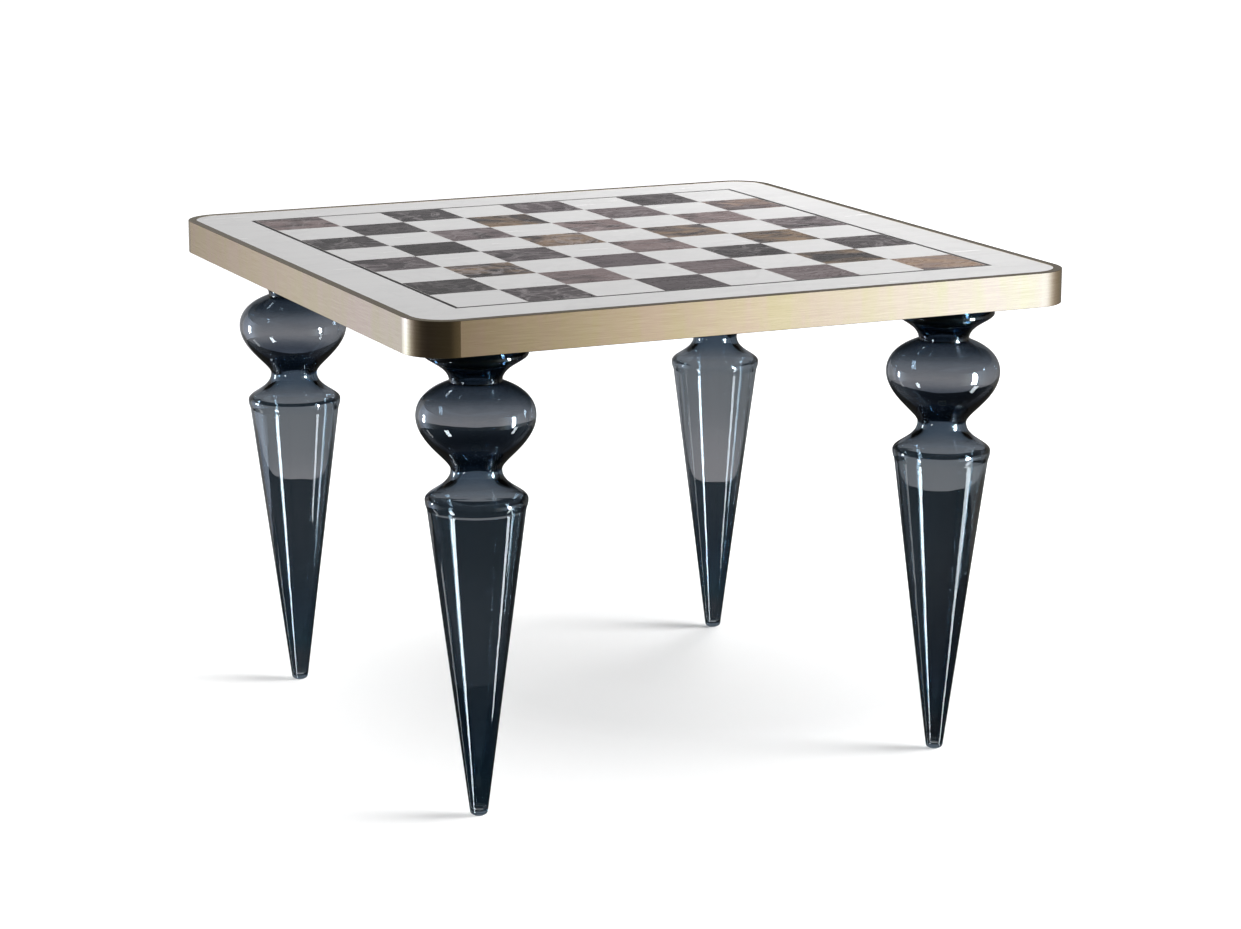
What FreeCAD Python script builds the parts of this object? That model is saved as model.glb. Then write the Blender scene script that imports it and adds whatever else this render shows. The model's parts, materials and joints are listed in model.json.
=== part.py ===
import FreeCAD, Part
import math
import os

from FreeCAD import Vector

# Square chess table: a stone marquetry top in a metal band, carried by four hollow
# blown-glass baluster legs that screw onto steel plates under the top.
# Millimetres, +Z up, origin on the floor under the middle of the table.

# ================================================================ driving dimensions
# Overall: the width follows from the squares, their border and the band
TABLE_HEIGHT = 725.0          # floor to the rim of the band

# Metal band: a folded channel with an outer wall, a top rim that ends in a short hem
# standing on the core, and a lower flange that the core sits on
BAND_HEIGHT = 49.0
BAND_THICKNESS = 3.0
BAND_CORNER_RADIUS = 59.0     # outside, seen from above
BAND_RIM_WIDTH = 12.5         # rim seen from above
BAND_FLANGE_WIDTH = 18.0
BAND_ARRIS_RADIUS = 0.8       # outer edges of the wall, top and bottom

# Stone layer
SQUARES_PER_SIDE = 8
SQUARE_SIZE = 100.9
JOINT_WIDTH = 0.6             # pale resin round every square
FILLET_WIDTH = 5.6            # dark inlay line round the field
BORDER_WIDTH = 75.0           # stone border outside the inlay line
STONE_THICKNESS = 10.0
STONE_BELOW_RIM = 0.4
STONE_CLEARANCE = 0.3         # border stone to fillet strips and to the band's hem
MITRE_GAP = 0.3               # between neighbouring strips at the corners

# Core and underside
CORE_CLEARANCE = 0.3          # adhesive round the core
PANEL_CLEARANCE = 0.5
PANEL_THICKNESS = 3.0

# Legs: each axis stands this far in from the outside of the band, both ways
LEG_INSET = 136.0

# Outside of the glass. Each station is a place where the wall stands upright:
# how far it lies below the top of the glass, and its radius.
COLLAR_DROP = 9.7
COLLAR_RADIUS = 72.0
UPPER_NECK_DROP = 47.9
UPPER_NECK_RADIUS = 36.2
BULB_DROP = 95.4
BULB_RADIUS = 82.0
LOWER_NECK_DROP = 170.3
LOWER_NECK_RADIUS = 35.3
SHOULDER_DROP = 211.2
SHOULDER_RADIUS = 70.8
COVE_DROP = 225.7             # the cove under the shoulder bead, where the cone starts
COVE_RADIUS = 67.8
TIP_RADIUS = 11.9             # of the cone, run down to the foot
TIP_ROUNDING = 5.8

# How long the wall stays upright at the two ends of each run between stations, as
# shares of the run's height: small is a tight turn, large is a full round form.
COLLAR_RUN = (0.22, 0.55)
BULB_TOP_RUN = (0.04, 0.75)
BULB_FOOT_RUN = (0.49, 0.19)
SHOULDER_RUN = (0.57, 0.25)
BEAD_RUN = (0.60, 0.24)

# Thickness of the glass at the stations, and its cavity
MOUTH_RADIUS = 55.0
MOUTH_DEPTH = 16.0            # straight ground seat for the cap
MOUTH_CHAMFER = 2.0
NECK_WALL = 11.0
BULB_WALL = 6.0
SHOULDER_WALL = 7.5
CONE_WALL = 6.0
CAVITY_END_HEIGHT = 140.0     # the cone is solid below this
CAVITY_END_RADIUS = 9.0

# Leg fittings
PLATE_SIZE = 130.0
PLATE_THICKNESS = 8.0
PLATE_CORNER_RADIUS = 16.0
PLATE_BOLT_PITCH = 98.0
GASKET_THICKNESS = 2.0
GASKET_RADIUS = 57.0
CAP_RADIUS = 60.0
CAP_FLANGE_THICKNESS = 6.0
CAP_PLUG_DEPTH = 14.0
CAP_PLUG_WALL = 4.0
CAP_BOSS_RADIUS = 15.0
CAP_BOSS_DEPTH = 26.0
CAP_BOND_LINE = 0.3           # adhesive between cap and glass
STUD_RADIUS = 8.0
STUD_ABOVE_PLATE = 14.0
STUD_SHORT_OF_BOSS = 2.0
STUD_CHAMFER = 1.5
THREAD_CLEARANCE = 0.2
PAD_THICKNESS = 1.2
PAD_CLEARANCE = 0.2           # pad edge in from the flat of the tip

# Fasteners
BOLT_RADIUS = 4.0
BOLT_LENGTH = 30.0
BOLT_HEAD_ACROSS_FLATS = 13.0
BOLT_HEAD_HEIGHT = 5.3
WOOD_SCREW_RADIUS = 2.2
WOOD_SCREW_HEAD_RADIUS = 4.4
WOOD_SCREW_LENGTH = 22.0
SCREW_CLEARANCE = 0.15
BAND_SCREWS_PER_SIDE = 3
BAND_SCREW_SPACING = 290.0

# ================================================================ heights and half widths
BAND_BOTTOM = TABLE_HEIGHT - BAND_HEIGHT
RIM_UNDERSIDE = TABLE_HEIGHT - BAND_THICKNESS
STONE_TOP = TABLE_HEIGHT - STONE_BELOW_RIM
CORE_TOP = STONE_TOP - STONE_THICKNESS
CORE_BOTTOM = BAND_BOTTOM + BAND_THICKNESS
PLATE_BOTTOM = CORE_BOTTOM - PLATE_THICKNESS
GASKET_BOTTOM = PLATE_BOTTOM - GASKET_THICKNESS
CAP_SEAT = GASKET_BOTTOM - CAP_FLANGE_THICKNESS
GLASS_TOP = CAP_SEAT - CAP_BOND_LINE
GLASS_BOTTOM = PAD_THICKNESS

# from the middle of the board outwards
SQUARE_PITCH = SQUARE_SIZE + JOINT_WIDTH
FIELD_HALF = (SQUARES_PER_SIDE * SQUARE_PITCH + JOINT_WIDTH) / 2
FILLET_OUTSIDE_HALF = FIELD_HALF + FILLET_WIDTH
BORDER_INSIDE_HALF = FILLET_OUTSIDE_HALF + STONE_CLEARANCE
BORDER_OUTSIDE_HALF = BORDER_INSIDE_HALF + BORDER_WIDTH
RIM_INSIDE_HALF = BORDER_OUTSIDE_HALF + STONE_CLEARANCE
BAND_HALF = RIM_INSIDE_HALF + BAND_RIM_WIDTH    # 500: the table is a metre wide
WALL_INSIDE_HALF = BAND_HALF - BAND_THICKNESS
FLANGE_INSIDE_HALF = BAND_HALF - BAND_FLANGE_WIDTH
FLANGE_MIDDLE = (WALL_INSIDE_HALF + FLANGE_INSIDE_HALF) / 2

LEG_OFFSET = BAND_HALF - LEG_INSET
LEG_PLACES = {
    "front_left": (-LEG_OFFSET, -LEG_OFFSET),
    "front_right": (LEG_OFFSET, -LEG_OFFSET),
    "rear_right": (LEG_OFFSET, LEG_OFFSET),
    "rear_left": (-LEG_OFFSET, LEG_OFFSET),
}
SIDES = ("front", "right", "rear", "left")    # each a quarter turn on from the last

UP = Vector(0, 0, 1)
ORIGIN = Vector(0, 0, 0)


# ================================================================ helpers
def save(name, solids):
    """Writes one sub-part as a STEP file, whether it is one solid or a group."""
    solids = list(solids) if isinstance(solids, (list, tuple)) else [solids]
    shape = solids[0] if len(solids) == 1 else Part.makeCompound(solids)
    shape.exportStep(os.path.join("parts", name + ".step"))


def square_prism(half, corner_radius, bottom, top):
    """A square prism round the Z axis, with rounded upright corners."""
    prism = Part.makeBox(2 * half, 2 * half, top - bottom, Vector(-half, -half, bottom))
    if corner_radius <= 0:
        return prism
    upright = [edge for edge in prism.Edges if abs(edge.tangentAt(edge.FirstParameter).z) > 0.5]
    return prism.makeFillet(corner_radius, upright)


def band_offset_prism(half, bottom, top):
    """A square prism whose corners are concentric with the corners of the band."""
    return square_prism(half, BAND_CORNER_RADIUS - (BAND_HALF - half), bottom, top)


def cylinder(x, y, radius, bottom, top):
    return Part.makeCylinder(radius, top - bottom, Vector(x, y, bottom))


def turned(edges):
    """A solid of revolution from a closed outline of edges in the XZ plane."""
    return Part.Face(Part.Wire(edges)).revolve(ORIGIN, UP, 360)


def line(start, end):
    """A straight stretch of an outline, between two (radius, height) points."""
    return Part.LineSegment(Vector(start[0], 0, start[1]), Vector(end[0], 0, end[1])).toShape()


def polyline(points):
    return [line(start, end) for start, end in zip(points, points[1:])]


def bezier(*points):
    """A smooth stretch of an outline: end, handle, handle, end as (radius, height)."""
    curve = Part.BezierCurve()
    curve.setPoles([Vector(radius, 0, height) for radius, height in points])
    return curve.toShape()


def quarter_round(start, end, corner):
    """A quarter round between two outline points, bulging towards their corner."""
    circle_share = 1 - math.sqrt(0.5)
    middle = [c + circle_share * (s - c + e - c) for s, e, c in zip(start, end, corner)]
    points = [Vector(radius, 0, height) for radius, height in (start, middle, end)]
    return Part.Arc(*points).toShape()


def run(upper, lower, shares):
    """The wall between two stations, upright at both, as one smooth curve."""
    height = upper[1] - lower[1]
    return bezier(
        upper,
        (upper[0], upper[1] - shares[0] * height),
        (lower[0], lower[1] + shares[1] * height),
        lower,
    )


def placed(solid, x, y):
    moved = solid.copy()
    moved.translate(Vector(x, y, 0))
    return moved


def quarter_turns(solid, side):
    """The same piece on another side of the table."""
    turned_piece = solid.copy()
    turned_piece.rotate(ORIGIN, UP, 90 * side)
    return turned_piece


# ================================================================ screws and their holes
def evenly_spaced(count, spacing):
    """Places along a line, centred on the middle of the table."""
    return [(i - (count - 1) / 2) * spacing for i in range(count)]


def band_screw_places():
    places = []
    for x in evenly_spaced(BAND_SCREWS_PER_SIDE, BAND_SCREW_SPACING):
        places += [(x, -FLANGE_MIDDLE), (FLANGE_MIDDLE, x)]
        places += [(-x, FLANGE_MIDDLE), (-FLANGE_MIDDLE, -x)]
    return places


def bolt_places():
    """Where the plate bolts stand, from the axis of their leg."""
    reach = PLATE_BOLT_PITCH / 2
    return [(sx * reach, sy * reach) for sx, sy in ((-1, -1), (1, -1), (1, 1), (-1, 1))]


def wood_screw(x, y, room=0.0):
    """A countersunk screw driven up through the flange of the band, its head flush with
    the underside. With some room it is the hole for that screw."""
    head = WOOD_SCREW_HEAD_RADIUS + room
    shank = WOOD_SCREW_RADIUS + room
    top = BAND_BOTTOM + WOOD_SCREW_LENGTH + room
    outline = polyline([
        (0, BAND_BOTTOM), (head, BAND_BOTTOM), (shank, BAND_BOTTOM + head - shank),
        (shank, top), (0, top), (0, BAND_BOTTOM),
    ])
    return placed(turned(outline), x, y)


def band_screws(room=0.0):
    return [wood_screw(x, y, room) for x, y in band_screw_places()]


def plate_bolt(x, y):
    """A hexagon-headed bolt through the mounting plate into the core."""
    corner = BOLT_HEAD_ACROSS_FLATS / math.sqrt(3)
    points = [
        Vector(x + corner * math.cos(math.radians(60 * i)),
               y + corner * math.sin(math.radians(60 * i)),
               PLATE_BOTTOM - BOLT_HEAD_HEIGHT)
        for i in range(7)
    ]
    head = Part.Face(Part.makePolygon(points)).extrude(Vector(0, 0, BOLT_HEAD_HEIGHT))
    shank = cylinder(x, y, BOLT_RADIUS, PLATE_BOTTOM, PLATE_BOTTOM + BOLT_LENGTH)
    return head.fuse(shank).removeSplitter()


# ================================================================ the top
def make_edge_band():
    """Channel section carried round the square: wall, rim, hem and lower flange."""
    band = band_offset_prism(BAND_HALF, BAND_BOTTOM, TABLE_HEIGHT)
    level_edges = [edge for edge in band.Edges if abs(edge.tangentAt(edge.FirstParameter).z) < 0.5]
    band = band.makeFillet(BAND_ARRIS_RADIUS, level_edges)
    hem_outside_half = RIM_INSIDE_HALF + BAND_THICKNESS
    core_room = band_offset_prism(WALL_INSIDE_HALF, CORE_BOTTOM, CORE_TOP)
    hollow_rim = band_offset_prism(WALL_INSIDE_HALF, CORE_TOP, RIM_UNDERSIDE).cut(
        band_offset_prism(hem_outside_half, CORE_TOP, RIM_UNDERSIDE))
    stone_opening = band_offset_prism(RIM_INSIDE_HALF, CORE_TOP, TABLE_HEIGHT)
    flange_opening = band_offset_prism(FLANGE_INSIDE_HALF, BAND_BOTTOM, CORE_BOTTOM)
    band = band.cut([core_room, hollow_rim, stone_opening, flange_opening])
    return band.cut(band_screws(SCREW_CLEARANCE)).removeSplitter()


def make_core_panel():
    """Plywood core, bored for the studs, the plate bolts and the band screws."""
    core = band_offset_prism(WALL_INSIDE_HALF - CORE_CLEARANCE, CORE_BOTTOM, CORE_TOP)
    bores = []
    stud_room = STUD_ABOVE_PLATE + THREAD_CLEARANCE
    for leg_x, leg_y in LEG_PLACES.values():
        bores.append(cylinder(leg_x, leg_y, STUD_RADIUS + THREAD_CLEARANCE,
                              CORE_BOTTOM, CORE_BOTTOM + stud_room))
        for x, y in bolt_places():
            bores.append(cylinder(leg_x + x, leg_y + y, BOLT_RADIUS + SCREW_CLEARANCE,
                                  CORE_BOTTOM, PLATE_BOTTOM + BOLT_LENGTH + SCREW_CLEARANCE))
    return core.cut(bores + band_screws(SCREW_CLEARANCE))


def make_underside_panel():
    """Thin laminate glued under the core, cut out round the mounting plates."""
    panel = band_offset_prism(FLANGE_INSIDE_HALF - PANEL_CLEARANCE, CORE_BOTTOM - PANEL_THICKNESS,
                              CORE_BOTTOM)
    window = square_prism(PLATE_SIZE / 2 + PANEL_CLEARANCE, PLATE_CORNER_RADIUS + PANEL_CLEARANCE,
                          CORE_BOTTOM - PANEL_THICKNESS, CORE_BOTTOM)
    return panel.cut([placed(window, x, y) for x, y in LEG_PLACES.values()])


def mitred_strips(ring):
    """Cuts a square ring of the stone layer into four strips, mitred at the corners."""
    half_gap = MITRE_GAP / math.sqrt(2)
    reach = BAND_HALF
    corners = [(0, -half_gap), (-reach, -reach - half_gap), (reach, -reach - half_gap)]
    points = [Vector(x, y, CORE_TOP) for x, y in corners + corners[:1]]
    wedge = Part.Face(Part.makePolygon(points)).extrude(Vector(0, 0, STONE_THICKNESS))
    return {
        name: ring.common(quarter_turns(wedge, side))
        for side, name in enumerate(SIDES)
    }


def make_border_strips():
    ring = band_offset_prism(BORDER_OUTSIDE_HALF, CORE_TOP, STONE_TOP).cut(
        square_prism(BORDER_INSIDE_HALF, 0, CORE_TOP, STONE_TOP))
    return mitred_strips(ring)


def make_fillet_strips():
    ring = square_prism(FILLET_OUTSIDE_HALF, 0, CORE_TOP, STONE_TOP).cut(
        square_prism(FIELD_HALF, 0, CORE_TOP, STONE_TOP))
    return mitred_strips(ring)


def square_corner(index):
    """The near edge of the square at this place in its row."""
    return -FIELD_HALF + JOINT_WIDTH + index * SQUARE_PITCH


def stone_square(file, rank):
    """One stone tile. File counts from the left, rank from the front."""
    corner = Vector(square_corner(file), square_corner(rank), CORE_TOP)
    return Part.makeBox(SQUARE_SIZE, SQUARE_SIZE, STONE_THICKNESS, corner)


def is_dark(file, rank):
    """Light squares lie in the front left and rear right corners of the field."""
    return (file + rank) % 2 == 1


def make_joint_resin():
    """The lattice of resin that fills the joints round all the squares."""
    sheet = square_prism(FIELD_HALF, 0, CORE_TOP, STONE_TOP)
    places = range(SQUARES_PER_SIDE)
    return sheet.cut([stone_square(file, rank) for file in places for rank in places])


# ================================================================ the legs
def cone_radius(height):
    """Outside radius of the straight cone at a height above the floor."""
    cove_height = GLASS_TOP - COVE_DROP
    share = (height - GLASS_BOTTOM) / (cove_height - GLASS_BOTTOM)
    return TIP_RADIUS + share * (COVE_RADIUS - TIP_RADIUS)


def make_glass_leg():
    """Blown glass: collar, neck, bulb, neck, beaded shoulder and cone, hollow to near
    the tip, drawn as smooth runs between the stations where the wall stands upright."""
    def station(drop, radius):
        return (radius, GLASS_TOP - drop)

    collar = station(COLLAR_DROP, COLLAR_RADIUS)
    upper_neck = station(UPPER_NECK_DROP, UPPER_NECK_RADIUS)
    bulb = station(BULB_DROP, BULB_RADIUS)
    lower_neck = station(LOWER_NECK_DROP, LOWER_NECK_RADIUS)
    shoulder = station(SHOULDER_DROP, SHOULDER_RADIUS)
    cove = station(COVE_DROP, COVE_RADIUS)

    # outside, from the rim of the mouth down to the foot
    lip = (COLLAR_RADIUS - COLLAR_DROP, GLASS_TOP)
    slope = (cone_radius(cove[1]) - cone_radius(GLASS_BOTTOM)) / (cove[1] - GLASS_BOTTOM)
    bead_height = shoulder[1] - cove[1]
    cove_handle = BEAD_RUN[1] * bead_height
    tip_top = (cone_radius(GLASS_BOTTOM + TIP_ROUNDING), GLASS_BOTTOM + TIP_ROUNDING)
    tip_flat = (tip_top[0] - TIP_ROUNDING, GLASS_BOTTOM)
    outside = [
        quarter_round(lip, collar, (COLLAR_RADIUS, GLASS_TOP)),
        run(collar, upper_neck, COLLAR_RUN),
        run(upper_neck, bulb, BULB_TOP_RUN),
        run(bulb, lower_neck, BULB_FOOT_RUN),
        run(lower_neck, shoulder, SHOULDER_RUN),
        bezier(
            shoulder,
            (shoulder[0], shoulder[1] - BEAD_RUN[0] * bead_height),
            (cove[0] + slope * cove_handle, cove[1] + cove_handle),
            cove,
        ),
        line(cove, tip_top),
        quarter_round(tip_top, tip_flat, (tip_top[0], GLASS_BOTTOM)),
        line(tip_flat, (0, GLASS_BOTTOM)),
    ]

    # inside, from the end of the cavity back up to the mouth
    def inner(place, wall):
        return (place[0] - wall, place[1])

    cavity_end = (CAVITY_END_RADIUS, CAVITY_END_HEIGHT + CAVITY_END_RADIUS)
    cone_top = inner(cove, CONE_WALL)
    shoulder_in = inner(shoulder, SHOULDER_WALL)
    lower_neck_in = inner(lower_neck, NECK_WALL)
    bulb_in = inner(bulb, BULB_WALL)
    upper_neck_in = inner(upper_neck, NECK_WALL)
    seat_foot = (MOUTH_RADIUS, GLASS_TOP - MOUTH_DEPTH)
    mouth = (MOUTH_RADIUS, GLASS_TOP - MOUTH_CHAMFER)
    mouth_top = (MOUTH_RADIUS + MOUTH_CHAMFER, GLASS_TOP)
    inside = [
        quarter_round((0, CAVITY_END_HEIGHT), cavity_end, (CAVITY_END_RADIUS, CAVITY_END_HEIGHT)),
        line(cavity_end, cone_top),
        line(cone_top, shoulder_in),
        run(shoulder_in, lower_neck_in, SHOULDER_RUN[::-1]),
        run(lower_neck_in, bulb_in, BULB_FOOT_RUN[::-1]),
        run(bulb_in, upper_neck_in, BULB_TOP_RUN[::-1]),
        run(upper_neck_in, seat_foot, COLLAR_RUN[::-1]),
        line(seat_foot, mouth),
        line(mouth, mouth_top),
    ]
    axis = line((0, GLASS_BOTTOM), (0, CAVITY_END_HEIGHT))
    return turned(outside + [axis] + inside + [line(mouth_top, lip)])


def make_leg_cap():
    """Turned cap: a flange over the rim of the glass, a plug bonded in its mouth, and a
    threaded boss for the stud."""
    plug_radius = MOUTH_RADIUS - CAP_BOND_LINE
    plug_bottom = CAP_SEAT - CAP_PLUG_DEPTH
    boss_bottom = CAP_SEAT - CAP_BOSS_DEPTH
    bore = STUD_RADIUS + THREAD_CLEARANCE
    outline = polyline([
        (bore, GASKET_BOTTOM), (CAP_RADIUS, GASKET_BOTTOM), (CAP_RADIUS, CAP_SEAT),
        (plug_radius, CAP_SEAT), (plug_radius, plug_bottom),
        (plug_radius - CAP_PLUG_WALL, plug_bottom), (plug_radius - CAP_PLUG_WALL, CAP_SEAT),
        (CAP_BOSS_RADIUS, CAP_SEAT), (CAP_BOSS_RADIUS, boss_bottom), (bore, boss_bottom),
        (bore, GASKET_BOTTOM),
    ])
    return turned(outline)


def make_leg_gasket():
    """Rubber washer between the cap and the plate."""
    hole = cylinder(0, 0, STUD_RADIUS + THREAD_CLEARANCE, GASKET_BOTTOM, PLATE_BOTTOM)
    return cylinder(0, 0, GASKET_RADIUS, GASKET_BOTTOM, PLATE_BOTTOM).cut(hole)


def make_leg_stud():
    """Threaded stud, chamfered at both ends, from the cap's boss up into the core."""
    bottom = CAP_SEAT - CAP_BOSS_DEPTH + STUD_SHORT_OF_BOSS
    top = CORE_BOTTOM + STUD_ABOVE_PLATE
    outline = polyline([
        (0, bottom), (STUD_RADIUS - STUD_CHAMFER, bottom), (STUD_RADIUS, bottom + STUD_CHAMFER),
        (STUD_RADIUS, top - STUD_CHAMFER), (STUD_RADIUS - STUD_CHAMFER, top), (0, top),
        (0, bottom),
    ])
    return turned(outline)


def make_mounting_plate():
    """Steel plate on the core, tapped for the stud and drilled for four bolts."""
    plate = square_prism(PLATE_SIZE / 2, PLATE_CORNER_RADIUS, PLATE_BOTTOM, CORE_BOTTOM)
    holes = [cylinder(0, 0, STUD_RADIUS + THREAD_CLEARANCE, PLATE_BOTTOM, CORE_BOTTOM)]
    holes += [cylinder(x, y, BOLT_RADIUS + SCREW_CLEARANCE, PLATE_BOTTOM, CORE_BOTTOM)
              for x, y in bolt_places()]
    return plate.cut(holes)


def make_foot_pad():
    """Clear disc stuck to the flat of the glass tip."""
    flat = cone_radius(GLASS_BOTTOM + TIP_ROUNDING) - TIP_ROUNDING
    return cylinder(0, 0, flat - PAD_CLEARANCE, 0, PAD_THICKNESS)


# ================================================================ build and write
def main():
    os.makedirs("parts", exist_ok=True)

    save("edge_band", make_edge_band())
    save("core_panel", make_core_panel())
    save("underside_panel", make_underside_panel())
    save("band_screws", band_screws())

    for side, strip in make_border_strips().items():
        save("border_strip_" + side, strip)
    for side, strip in make_fillet_strips().items():
        save("inlay_line_" + side, strip)
    save("joint_resin", make_joint_resin())
    for rank in range(SQUARES_PER_SIDE):
        files = range(SQUARES_PER_SIDE)
        dark = [stone_square(file, rank) for file in files if is_dark(file, rank)]
        light = [stone_square(file, rank) for file in files if not is_dark(file, rank)]
        save("dark_squares_rank_%d" % (rank + 1), dark)
        save("light_squares_rank_%d" % (rank + 1), light)

    leg_parts = {
        "glass_leg": make_glass_leg(),
        "leg_cap": make_leg_cap(),
        "mounting_plate": make_mounting_plate(),
    }
    for name, piece in leg_parts.items():
        for corner, (x, y) in LEG_PLACES.items():
            save(name + "_" + corner, placed(piece, x, y))

    small_leg_parts = {
        "leg_gaskets": [make_leg_gasket()],
        "leg_studs": [make_leg_stud()],
        "plate_bolts": [plate_bolt(x, y) for x, y in bolt_places()],
        "foot_pads": [make_foot_pad()],
    }
    for name, solids in small_leg_parts.items():
        save(name, [placed(solid, x, y) for x, y in LEG_PLACES.values() for solid in solids])


main()
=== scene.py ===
# %% [markdown]
# # A chess table with an inlaid board
# The table has three very different surfaces: honed stone, brushed metal and smoked
# blown glass. This lesson dresses a finished construction model. The model brings every
# piece in its real place and size, so nothing is moved here. Most pieces only get a
# finish. The glass legs are turned again as finer meshes, because clear glass shows
# every facet.

# %% Load the construction model
import json
import math

import bpy
from mathutils import Matrix, Vector


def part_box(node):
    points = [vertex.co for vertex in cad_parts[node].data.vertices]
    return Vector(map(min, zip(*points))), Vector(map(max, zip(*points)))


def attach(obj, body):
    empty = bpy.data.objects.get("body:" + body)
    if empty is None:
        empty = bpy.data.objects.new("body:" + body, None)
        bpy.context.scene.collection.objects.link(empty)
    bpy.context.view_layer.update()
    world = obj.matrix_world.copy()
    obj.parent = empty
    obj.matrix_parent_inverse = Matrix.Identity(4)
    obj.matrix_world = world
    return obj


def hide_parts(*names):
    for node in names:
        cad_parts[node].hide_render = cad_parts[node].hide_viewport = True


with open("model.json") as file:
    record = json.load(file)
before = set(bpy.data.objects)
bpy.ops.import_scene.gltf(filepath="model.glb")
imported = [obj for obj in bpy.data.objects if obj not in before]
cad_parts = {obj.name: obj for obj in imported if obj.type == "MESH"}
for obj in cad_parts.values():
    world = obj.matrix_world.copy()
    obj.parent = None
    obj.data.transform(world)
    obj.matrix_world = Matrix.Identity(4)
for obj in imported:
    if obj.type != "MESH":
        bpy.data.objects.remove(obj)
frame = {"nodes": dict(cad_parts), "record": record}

nodes = frame["nodes"]
scene = bpy.context.scene
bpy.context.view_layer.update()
print("construction model:", len(nodes), "nodes")

# %% [markdown]
# ## The camera
# The table is looked at from eye height, some five metres away, through a long lens. A
# camera could be aimed by a constraint that tracks a target. Here its direction is given
# as turns round the upright axis, down, and a touch of roll, so it stays three plain
# numbers that are easy to change.

# %% Camera
CAMERA_PLACE = Vector((-2.077, -4.470, 1.522))
CAMERA_YAW = math.radians(25.16)       # from +Y towards +X
CAMERA_PITCH = math.radians(12.963)    # below the horizon
CAMERA_ROLL = math.radians(0.122)
SENSOR_WIDTH = 36.0                    # millimetres, as is the lens
LENS = 97.73
FARTHEST_SEEN = 200.0                  # metres


def aimed(yaw, pitch, roll):
    """The turning matrix of a camera that looks along +Y at zero yaw and pitch."""
    forward = Vector((math.sin(yaw) * math.cos(pitch), math.cos(yaw) * math.cos(pitch),
                      -math.sin(pitch)))
    level = Vector((math.cos(yaw), -math.sin(yaw), 0))
    upright = level.cross(forward)
    right = level * math.cos(roll) + upright * math.sin(roll)
    up = upright * math.cos(roll) - level * math.sin(roll)
    return Matrix((right, up, -forward)).transposed().to_4x4()


camera_data = bpy.data.cameras.new("camera")
camera_data.lens = LENS
camera_data.sensor_width = SENSOR_WIDTH
camera_data.clip_end = FARTHEST_SEEN
camera = bpy.data.objects.new("camera", camera_data)
camera.matrix_world = (Matrix.Translation(CAMERA_PLACE)
                       @ aimed(CAMERA_YAW, CAMERA_PITCH, CAMERA_ROLL))
scene.collection.objects.link(camera)
scene.camera = camera
scene.view_settings.view_transform = "Standard"
print("camera distance %.2f m" % CAMERA_PLACE.length)

# %% [markdown]
# ## Helpers for shader nodes
# Every finish below is a little network of nodes. Each could be wired in the editor by
# hand, but in a script that takes a dozen lines for one finish. These helpers make a
# node and fill or link its inputs in one line. The smallest of them come first.

# %% Helpers: nodes and arithmetic
def put(tree, socket, value):
    """Links a socket to another node's output, or writes a plain value into it."""
    if isinstance(value, bpy.types.NodeSocket):
        tree.links.new(value, socket)
    else:
        socket.default_value = value


def node(tree, kind, inputs=None, **properties):
    """Makes a node. Inputs take a plain value or another node's output socket."""
    made = tree.nodes.new(kind)
    for name, value in properties.items():
        setattr(made, name, value)
    for key, value in (inputs or {}).items():
        put(tree, made.inputs[key], value)
    return made


def maths(tree, operation, *values, clamp=False):
    """One arithmetic step, as its output socket."""
    step = node(tree, "ShaderNodeMath", dict(enumerate(values)), operation=operation)
    step.use_clamp = clamp
    return step.outputs[0]


def scaled(tree, value, gain, shift, clamp=False):
    """A value times a gain, plus a shift. Clamped, it stays from 0 to 1."""
    return maths(tree, "MULTIPLY_ADD", value, gain, shift, clamp=clamp)


def vector_maths(tree, operation, *values):
    """One arithmetic step on places, as its output socket."""
    return node(tree, "ShaderNodeVectorMath", dict(enumerate(values)),
                operation=operation).outputs[0]


print("helpers for nodes and arithmetic")

# %% [markdown]
# A finish has to know where on the piece it is. Window coordinates would slide over the
# surface when the camera moves, and an unwrapped map would have seams. The object's own
# place has neither fault, and it is in metres, so every size below is a real one.

# %% Helpers: places
def object_place(tree):
    """The place on the piece, in metres, which doesn't change when the view does."""
    return node(tree, "ShaderNodeTexCoord").outputs["Object"]


def parts_of(tree, place):
    """A place's x, y and z as three sockets."""
    return node(tree, "ShaderNodeSeparateXYZ", {0: place}).outputs


def joined(tree, *parts):
    """A place made from its x, y and z."""
    return node(tree, "ShaderNodeCombineXYZ", dict(enumerate(parts))).outputs[0]


def noise(tree, place, scale, **settings):
    """A noise as its output socket. Settings are named as the node names its inputs."""
    return node(tree, "ShaderNodeTexNoise",
                {"Vector": place, "Scale": scale, **settings}).outputs[0]


print("helpers for places")

# %% [markdown]
# Most colours here are a blend of two or a run along a ramp. A value that is the same
# all over is typed into the shader itself, and only what changes over the surface comes
# through a link.

# %% Helpers: colours and materials
def colour(red, green, blue):
    return (red, green, blue, 1.0)


def mix_colour(tree, amount, first, second):
    """Blends two colours by an amount from 0 to 1."""
    mixer = node(tree, "ShaderNodeMix", data_type="RGBA")
    for socket, value in ((0, amount), (6, first), (7, second)):
        put(tree, mixer.inputs[socket], value)
    return mixer.outputs[2]


def colour_ramp(tree, amount, stops):
    """A run of colours. Each stop has a place from 0 to 1, and red, green and blue."""
    ramp = node(tree, "ShaderNodeValToRGB", {0: amount})
    elements = ramp.color_ramp.elements
    while len(elements) < len(stops):
        elements.new(0.5)
    for element, (share, tint) in zip(elements, stops):
        element.position = share
        element.color = colour(*tint)
    return ramp.outputs[0]


def feed(tree, owner, **values):
    """Fills or links the inputs of a shader or group by name, with _ for a space."""
    for key, value in values.items():
        put(tree, owner.inputs[key.replace("_", " ")], value)


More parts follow.
